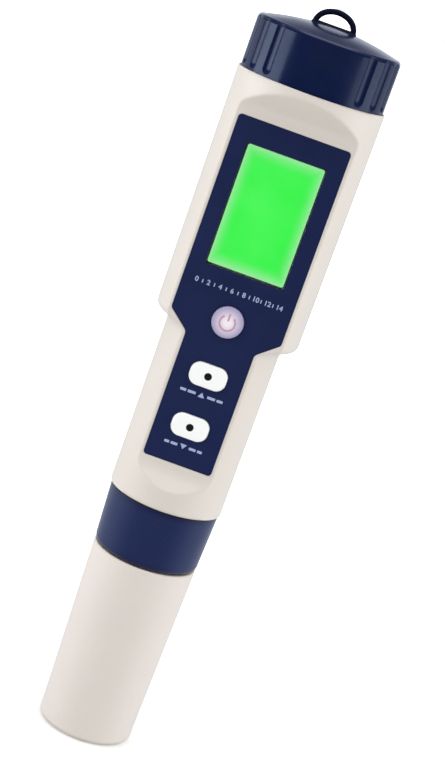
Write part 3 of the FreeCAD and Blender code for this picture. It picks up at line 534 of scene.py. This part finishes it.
def board_parts():
    """Small board parts, each patch of them in one of four colours."""
    m = Mat("board_parts")
    patches = m.voronoi(110.0, output="Color")
    pick = m.add("ShaderNodeSeparateColor", {0: patches}).outputs[0]
    # start of each colour's share of the patches
    stops = [(0.0, rgb(38, 38, 42)), (0.35, rgb(150, 112, 70)), (0.6, rgb(44, 44, 48)),
             (0.8, rgb(196, 186, 160))]
    ramp = m.add("ShaderNodeValToRGB", {"Fac": pick})
    ramp.color_ramp.interpolation = "CONSTANT"
    elements = ramp.color_ramp.elements
    while len(elements) < len(stops):
        elements.new(0.5)
    for i, (start, colour) in enumerate(stops):
        elements[i].position = start
        elements[i].color = colour
    grit = m.noise(1800.0, detail=3.0, rough=0.6)
    m.surface(Base_Color=m.fade(grit, (0.35, 0.65), ramp.outputs["Color"], rgb(90, 84, 76),
                                most=0.25),
              Roughness=m.remap(grit, (0.3, 0.7), (0.35, 0.6)),
              Normal=m.bump(grit, distance=0.00001, over=m.round_edges(0.00008)))
    return m


def ink(name, colour):
    """Screen-printed ink: slightly uneven lay-down, soft sheen."""
    m = Mat(name)
    uneven = m.noise(2200.0, detail=4.0, rough=0.7)
    m.surface(Base_Color=m.fade(uneven, (0.3, 0.72), colour, scaled(colour, 0.72), most=0.45),
              Roughness=m.remap(uneven, (0.3, 0.7), (0.39, 0.55)),
              Normal=m.bump(uneven, distance=0.000004))
    return m


board = circuit_board()
seal = rubber("silicone_seal", rgb(28, 28, 30))
wire_red = rubber("wire_red", rgb(186, 26, 22), rough=0.42)
wire_black = rubber("wire_black", rgb(24, 24, 26), rough=0.42)
zebra = zebra_layers()
ceramic = porous_ceramic()
foam = sponge_foam()
chip = chip_package()
parts = board_parts()
ink_light = ink("ink_lavender", rgb(168, 180, 222))
ink_black = ink("ink_black", rgb(16, 17, 24))
ink_pink = ink("ink_dusty_pink", rgb(204, 158, 180))

# piece: material
LOOK = {
    "main_housing": shell, "probe_cap": probe_white, "battery_cap": shaded_cap_navy,
    "electrode_collar": navy, "front_label": film, "display_window": window, "lcd_panel": lcd,
    "power_button": key_power, "upper_button": key_white, "lower_button": key_white,
    "main_circuit_board": board, "zebra_strip": zebra, "backlight_guide": light_guide,
    "backlight_leds": inner_white, "lcd_frame": inner_white, "switch_bodies": black,
    "power_plunger": inner_white, "upper_plunger": inner_white, "lower_plunger": inner_white,
    "controller_chip": chip, "board_components": parts, "battery_chassis": black,
    "chassis_screws": steel, "spring_terminals": nickel, "battery_springs": nickel,
    "button_cells": cell_can, "battery_lead_red": wire_red, "battery_lead_black": wire_black,
    "cap_seal_ring": seal, "plug_seal_ring": seal, "cap_grip_ring": seal,
    "contact_carrier": black, "contact_plate": nickel, "carrier_screw": steel,
    "sensor_connector": black, "connector_contacts": gold, "sensor_leads": wire_black,
    "electrode_body": electrode, "ph_glass_bulb": bulb_glass, "measuring_wire": silver,
    "conductivity_pins": gold, "temperature_probe": steel, "reference_junction": ceramic,
    "pin_header": black, "electrode_pins": gold, "electrode_leads": wire_black,
    "storage_sponge": foam,
}


def shade_smooth(mesh):
    mesh.polygons.foreach_set("use_smooth", [True] * len(mesh.polygons))


def dress_pieces():
    """Give every CAD piece its material and smooth shading with sharp corners kept."""
    for name, piece in NODES.items():
        piece.data.materials.clear()
        piece.data.materials.append(LOOK[name].mat)
        shade_smooth(piece.data)
        piece.data.set_sharp_from_angle(angle=math.radians(28))
        piece.data.update()


dress_pieces()


# --------------------------------------------------------------------------
# Printed graphics on the overlay and keys, in millimetres
# --------------------------------------------------------------------------
INK_LIFT = 0.004       # how far the back of the ink is sunk behind the printed face
INK_THICKNESS = 0.022
LABEL_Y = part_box("front_label")[0].y / MM + INK_LIFT
KEY_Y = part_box("upper_button")[0].y / MM + INK_LIFT

SCALE_Z = 123.35       # pH scale under the display
SCALE_WIDTH = 21.2
SCALE_TOP = 14         # last number of the scale
DIGIT_SIZE = 1.75
DIGIT_SWELL = 0.035    # outline thickening
TICK_HALF_WIDTH, TICK_HALF_HEIGHT = 0.13, 0.45
TICK_SHIFT = 0.12      # ticks past 8 sit this much further left

# name, z, half width, direction of the triangle (1 up, -1 down)
LEGENDS = [("upper_key_legend", 96.4, 5.5, 1), ("lower_key_legend", 82.6, 4.9, -1)]
LEGEND_INNER = 1.5     # where the bars start on each side of the triangle
LEGEND_HALF_GAP = 0.2  # between the two bars of a side
LEGEND_HALF_HEIGHT = 0.34
TRIANGLE_HALF_WIDTH, TRIANGLE_BASE, TRIANGLE_TIP = 0.85, 0.6, 0.7

# name, z, body it rides on
KEY_DOTS = [("upper_key_dot", 101.5, "upper_key"), ("lower_key_dot", 87.9, "lower_key")]
DOT_RADIUS = 0.95
POWER_MARK_Z = 115.7


def new_object(name, mesh, material, body):
    ob = bpy.data.objects.new(name, mesh)
    bpy.context.scene.collection.objects.link(ob)
    ob.data.materials.append(material.mat)
    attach(ob, body)
    return ob


def add_print(name, bm, material, body):
    """Turn finished print geometry into an object."""
    bmesh.ops.remove_doubles(bm, verts=bm.verts, dist=1e-7)
    bmesh.ops.recalc_face_normals(bm, faces=bm.faces)
    mesh = bpy.data.meshes.new(name)
    bm.to_mesh(mesh)
    bm.free()
    new_object(name, mesh, material, body)


def add_plate(bm, outline, y):
    """Thin printed layer; outline holds (x, z), anticlockwise seen from the front."""
    front, back = ([bm.verts.new((x * MM, depth * MM, z * MM)) for x, z in outline]
                   for depth in (y - INK_THICKNESS, y))
    bm.faces.new(front)
    bm.faces.new(back[::-1])
    for i in range(len(outline)):
        j = (i + 1) % len(outline)
        bm.faces.new((front[j], front[i], back[i], back[j]))


def add_arc(bm, centre_z, outer, inner, start, end, y, steps=48):
    """Open arc band with squared ends, centred on x = 0; degrees from +X towards +Z."""
    front = y - INK_THICKNESS
    sections = []
    for i in range(steps + 1):
        angle = math.radians(start + (end - start) * i / steps)
        sections.append([
            bm.verts.new((radius * math.cos(angle) * MM, depth * MM,
                          (centre_z + radius * math.sin(angle)) * MM))
            for radius, depth in ((outer, front), (inner, front), (inner, y), (outer, y))])
    for a, b in zip(sections, sections[1:]):
        for k in range(4):
            j = (k + 1) % 4
            bm.faces.new((a[k], a[j], b[j], b[k]))
    bm.faces.new(sections[0][::-1])
    bm.faces.new(sections[-1])


def rounded_box(left, right, bottom, top, radius, steps):
    """Outline of a rectangle with rounded corners, anticlockwise from the bottom right."""
    corners = ((right - radius, bottom + radius, -90), (right - radius, top - radius, 0),
               (left + radius, top - radius, 90), (left + radius, bottom + radius, 180))
    outline = []
    for x, z, start in corners:
        for i in range(steps + 1):
            angle = math.radians(start + 90.0 * i / steps)
            outline.append((x + radius * math.cos(angle), z + radius * math.sin(angle)))
    return outline


def text_mesh(text, size):
    """Extruded text, centred and lying flat in the XY plane."""
    curve = bpy.data.curves.new("t_" + text, "FONT")
    curve.body = text
    curve.size = size * MM
    curve.align_x = "CENTER"
    curve.align_y = "CENTER"
    curve.extrude = INK_THICKNESS * MM / 2
    curve.offset = DIGIT_SWELL * MM
    curve.resolution_u = 4
    holder = bpy.data.objects.new("tmp_text", curve)
    bpy.context.scene.collection.objects.link(holder)
    bpy.context.view_layer.update()
    evaluated = holder.evaluated_get(bpy.context.evaluated_depsgraph_get())
    mesh = bpy.data.meshes.new_from_object(evaluated)
    bpy.data.objects.remove(holder)
    return mesh


def scale_x(value):
    return -SCALE_WIDTH / 2 + SCALE_WIDTH * value / SCALE_TOP


def print_scale():
    """pH scale: even numbers 0 to 14 with ticks between them."""
    bm = bmesh.new()
    for value in range(1, SCALE_TOP, 2):
        x = scale_x(value) - (TICK_SHIFT if value > 8 else 0.0)
        add_plate(bm, rounded_box(x - TICK_HALF_WIDTH, x + TICK_HALF_WIDTH,
                                  SCALE_Z - TICK_HALF_HEIGHT, SCALE_Z + TICK_HALF_HEIGHT,
                                  radius=0.06, steps=2), LABEL_Y)
    add_print("scale_ticks", bm, ink_light, "housing")

    bm = bmesh.new()
    stand_up = Matrix.Rotation(math.radians(90), 4, "X")
    for value in range(0, SCALE_TOP + 1, 2):
        digits = text_mesh(str(value), DIGIT_SIZE)
        place = Vector((scale_x(value), LABEL_Y - INK_THICKNESS / 2, SCALE_Z)) * MM
        digits.transform(Matrix.Translation(place) @ stand_up)
        bm.from_mesh(digits)
        bpy.data.meshes.remove(digits)
    add_print("scale_numbers", bm, ink_light, "housing")


def print_legends():
    """Below each oval key, an up or down triangle between short bars."""
    for name, z, half_width, direction in LEGENDS:
        bm = bmesh.new()
        split = 1.0 + half_width / 2
        bars = ((LEGEND_INNER, split - LEGEND_HALF_GAP), (split + LEGEND_HALF_GAP, half_width))
        for side in (-1, 1):
            for bar in bars:
                left, right = sorted(side * x for x in bar)
                add_plate(bm, rounded_box(left, right, z - LEGEND_HALF_HEIGHT,
                                          z + LEGEND_HALF_HEIGHT, radius=0.14, steps=3), LABEL_Y)
        base = z - direction * TRIANGLE_BASE
        triangle = [(-TRIANGLE_HALF_WIDTH, base), (TRIANGLE_HALF_WIDTH, base),
                    (0, z + direction * TRIANGLE_TIP)]
        if direction < 0:
            triangle = [triangle[0], triangle[2], triangle[1]]  # keep it anticlockwise
        add_plate(bm, triangle, LABEL_Y)
        add_print(name, bm, ink_light, "housing")


def print_key_marks():
    """A dot on each oval key, and an open ring with a bar on the power key."""
    for name, z, body in KEY_DOTS:
        bm = bmesh.new()
        angles = [math.radians(10 * i) for i in range(36)]
        add_plate(bm, [(DOT_RADIUS * math.cos(a), z + DOT_RADIUS * math.sin(a)) for a in angles],
                  KEY_Y)
        add_print(name, bm, ink_black, body)
    bm = bmesh.new()
    add_arc(bm, POWER_MARK_Z, outer=2.15, inner=1.68, start=128, end=412, y=KEY_Y)
    add_plate(bm, rounded_box(-0.24, 0.24, POWER_MARK_Z + 0.5, POWER_MARK_Z + 2.45,
                              radius=0.2, steps=4), KEY_Y)
    add_print("power_key_mark", bm, ink_pink, "power_key")


print_scale()
print_legends()
print_key_marks()


# --------------------------------------------------------------------------
# Sponge in the probe cap: swollen disc with torn open cells
# --------------------------------------------------------------------------
SPONGE_SEGMENTS = 150
SPONGE_SIDE_STEPS = 26
SPONGE_DISC_RINGS = 28     # rings on each flat face
SPONGE_DISC_STEPS = 30.0   # radius divided by the ring spacing
SPONGE_BULGE = 0.00012     # swelling at half height
SPONGE_SIDE_INSET = 0.0002
SPONGE_ROUNDING = 0.0006   # how far the rims are drawn in
SPONGE_RIM = 0.08          # share of the height that each rounded rim takes
SPONGE_SAG = 0.0002        # fall of the top towards its rim


def sponge_profile(radius, bottom, top):
    """(radius, z) from near the centre of the bottom, up the side, to near the top's centre."""
    disc = [radius * i / SPONGE_DISC_STEPS for i in range(1, SPONGE_DISC_RINGS + 1)]
    profile = [(r, bottom) for r in disc]
    for i in range(SPONGE_SIDE_STEPS + 1):
        t = i / SPONGE_SIDE_STEPS
        r = radius - SPONGE_SIDE_INSET + SPONGE_BULGE * math.sin(math.pi * t)
        from_rim = min(t, 1 - t)
        if from_rim < SPONGE_RIM:
            r -= SPONGE_ROUNDING * (1 - from_rim / SPONGE_RIM) ** 2
        profile.append((r, bottom + (top - bottom) * t))
    return profile + [(r, top - SPONGE_SAG * (r / radius) ** 2) for r in reversed(disc)]


def pit(point, width):
    """1 at the middle of a cell, falling to 0 at the given distance from it."""
    distances, _ = noise.voronoi(point)
    return max(0.0, width - distances[0]) / width


def tear_cells(bm, bottom):
    """Sink large and small pits and a slow unevenness into the surface."""
    small_offset = Vector((3.1, 1.7, 9.2))
    bm.normal_update()
    for v in bm.verts:
        large = pit(v.co * 900.0, width=0.32)
        small = pit(v.co * 2100.0 + small_offset, width=0.3)
        slow = noise.noise(v.co * 240.0)
        depth = 0.00055 * large ** 0.7 + 0.00018 * small + 0.00012 * (slow + 0.5)
        v.co -= v.normal * max(0.0, depth)
        v.co.z = max(v.co.z, bottom)


def make_sponge():
    lo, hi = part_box("storage_sponge")
    # slightly smaller than the piece it replaces
    radius = (hi.x - lo.x) / 2 - 0.00010
    bottom, top = lo.z + 0.00003, hi.z - 0.0001
    bm = bmesh.new()
    angles = [2 * math.pi * k / SPONGE_SEGMENTS for k in range(SPONGE_SEGMENTS)]
    rings = [[bm.verts.new((r * math.cos(a), r * math.sin(a), z)) for a in angles]
             for r, z in sponge_profile(radius, bottom, top)]
    for a, b in zip(rings, rings[1:]):
        for k in range(SPONGE_SEGMENTS):
            j = (k + 1) % SPONGE_SEGMENTS
            bm.faces.new((a[k], a[j], b[j], b[k]))
    bottom_centre = bm.verts.new((0, 0, bottom))
    top_centre = bm.verts.new((0, 0, top))
    for k in range(SPONGE_SEGMENTS):
        j = (k + 1) % SPONGE_SEGMENTS
        bm.faces.new((bottom_centre, rings[0][j], rings[0][k]))
        bm.faces.new((top_centre, rings[-1][k], rings[-1][j]))
    tear_cells(bm, bottom)
    mesh = bpy.data.meshes.new("sponge")
    bmesh.ops.recalc_face_normals(bm, faces=bm.faces)
    bm.to_mesh(mesh)
    bm.free()
    shade_smooth(mesh)
    sponge = new_object("sponge", mesh, foam, "probe_cap")
    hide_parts("storage_sponge")


make_sponge()


# --------------------------------------------------------------------------
# Studio: pale floor, soft boxes left and right, soft top light
# --------------------------------------------------------------------------
WHITE_LIGHT = (1, 1, 1, 1)
BOX_RADIUS = 0.62              # distance of the side boxes from the meter's axis
STRIP_RADIUS = BOX_RADIUS - 0.03
STRIP_Z = -0.03                # low, so that the dome stays dark
STRIP_COLOUR = (0.64, 0.78, 1.0)
# name, degrees round from the front (-Y) towards +X, width, box and strip radiance
SIDE_LIGHTS = [("left", -78.0, 0.58, 1.38, 1.89), ("right", 82.0, 0.50, 1.30, 0.81)]


def make_world():
    """Separate surroundings for diffuse light, for reflections and for the camera."""
    world = bpy.data.worlds.new("studio")
    bpy.context.scene.world = world
    w = Nodes(world, "ShaderNodeOutputWorld", "Generated")
    _, y, z = w.xyz()
    # soft fill: dimmer towards the camera side, brighter behind and overhead
    fill = w.math("ADD", w.remap(y, (-0.95, 0.15), (0.54, 0.92)),
                  w.remap(z, (0.1, 0.95), (0.0, 0.30)))
    # what polished faces mirror: a pale backdrop behind the meter, a dark room elsewhere
    backdrop = w.math("MULTIPLY", w.remap(y, (0.55, 0.86), smooth=True),
                      w.remap(z, (0.12, 0.50), (1.0, 0.12), smooth=True))
    overhead = w.remap(z, (0.60, 0.98), (0.0, 0.55), smooth=True)
    room = w.remap(y, (-1.0, -0.1), (0.03, 0.10))
    mirrored = w.math("ADD", w.math("MULTIPLY", backdrop, 0.85), w.math("ADD", overhead, room))
    rays = w.add("ShaderNodeLightPath").outputs
    seen = w.mix_shader(rays["Is Glossy Ray"],
                        w.glow("Background", (1.0, 0.985, 0.97, 1), fill),
                        w.glow("Background", (0.80, 0.85, 1.0, 1), mirrored))
    seen = w.mix_shader(rays["Is Camera Ray"], seen, w.glow("Background", WHITE_LIGHT, 1.0))
    w.put(w.output.inputs["Surface"], seen)


def pale_floor():
    """Matt and pale, glowing evenly white away from the meter; the glow fades near the meter,
    painted shade round its base.
    """
    m = Mat("pale_floor")
    away = m.add("ShaderNodeVectorMath", {0: m.position}, operation="LENGTH").outputs["Value"]
    # the floor's glow dims towards the meter: painted shade round its base
    m.surface(Base_Color=m.fade(m.noise(12.0, detail=3.0), (0.3, 0.7),
                                (0.90, 0.90, 0.90, 1), (0.92, 0.92, 0.92, 1)),
              Roughness=0.9, Specular_IOR_Level=0.0, Emission_Color=WHITE_LIGHT,
              Emission_Strength=m.remap(away, (0.02, 0.30), (0.04, 0.75)))
    rays = m.add("ShaderNodeLightPath").outputs
    # bounced light from the floor is held a little below its seen brightness
    seen = m.mix_shader(m.math("MULTIPLY", rays["Is Diffuse Ray"], 0.85),
                        m.shader.outputs["BSDF"],
                        m.glow("Emission", (1.0, 0.98, 0.96, 1), 0.88))
    # polished faces mirror the floor in front dimly, the floor at the sides and behind more
    near = m.remap(away, (0.25, 0.9), (0.20, 0.03))
    ahead = m.math("DIVIDE", m.math("MULTIPLY", m.xyz()[1], -1.0), away)
    mirrored = m.math("ADD", near, m.remap(ahead, (0.80, 0.10), (0.0, 0.50)))
    seen = m.mix_shader(rays["Is Glossy Ray"], seen,
                        m.glow("Emission", (0.8, 0.87, 1.0, 1), mirrored))
    m.put(m.output.inputs["Surface"], seen)
    return m


def make_floor():
    bm = bmesh.new()
    bmesh.ops.create_circle(bm, cap_ends=True, segments=96, radius=6.0)
    mesh = bpy.data.meshes.new("floor")
    bm.to_mesh(mesh)
    bm.free()
    floor = bpy.data.objects.new("floor", mesh)
    bpy.context.scene.collection.objects.link(floor)
    mesh.materials.append(pale_floor().mat)


def area_light(name, place, target, width, height, radiance, colour=(1, 1, 1), diffuse=True,
               glossy=True):
    light = bpy.data.lights.new(name, "AREA")
    light.shape = "RECTANGLE"
    light.size = width
    light.size_y = height
    light.energy = radiance * math.pi * width * height
    light.color = colour
    ob = bpy.data.objects.new(name, light)
    bpy.context.scene.collection.objects.link(ob)
    ob.location = place
    ob.visible_diffuse = diffuse
    ob.visible_glossy = glossy
    ob.rotation_euler = (Vector(target) - Vector(place)).to_track_quat("-Z", "Y").to_euler()


def around(radius, angle, z):
    return (radius * math.sin(angle), -radius * math.cos(angle), z)


def make_lights():
    for side, degrees, width, box_radiance, strip_radiance in SIDE_LIGHTS:
        angle = math.radians(degrees)
        area_light("box_" + side, around(BOX_RADIUS, angle, 0.20), target=(0, 0, 0.12),
                   width=width, height=1.0, radiance=box_radiance, glossy=False)
        # the box as polished faces see it
        area_light("strip_" + side, around(STRIP_RADIUS, angle, STRIP_Z),
                   target=(0, 0, STRIP_Z), width=width, height=0.52, radiance=strip_radiance,
                   colour=STRIP_COLOUR, diffuse=False)
    area_light("top_box", (0.0, -0.05, 0.95), target=(0, 0, 0.10), width=0.7, height=0.6,
               radiance=1.3)


def make_camera():
    """In front of the meter, looking a little down, rolled so that the meter leans right."""
    distance, x, camera_z, target_z = 472.8, 3.91, 209.69, 98.25  # mm
    roll = math.radians(19.878)
    place = Vector((x, -distance, camera_z)) * MM
    forward = (Vector((x, 0, target_z)) * MM - place).normalized()
    level_right = forward.cross(Vector((0, 0, 1))).normalized()
    level_up = level_right.cross(forward)
    right = level_right * math.cos(roll) + level_up * math.sin(roll)
    up = level_up * math.cos(roll) - level_right * math.sin(roll)
    pose = Matrix((right, up, -forward)).transposed().to_4x4()
    pose.translation = place
    data = bpy.data.cameras.new("camera")
    data.sensor_fit = "AUTO"
    data.sensor_width = 36.0
    data.lens = 90.9421875
    data.clip_start = 0.01
    data.clip_end = 30
    camera = bpy.data.objects.new("camera", data)
    bpy.context.scene.collection.objects.link(camera)
    camera.matrix_world = pose
    bpy.context.scene.camera = camera


bpy.context.scene.view_settings.view_transform = "Standard"
bpy.context.scene.view_settings.look = "None"
make_world()
make_floor()
make_lights()
make_camera()
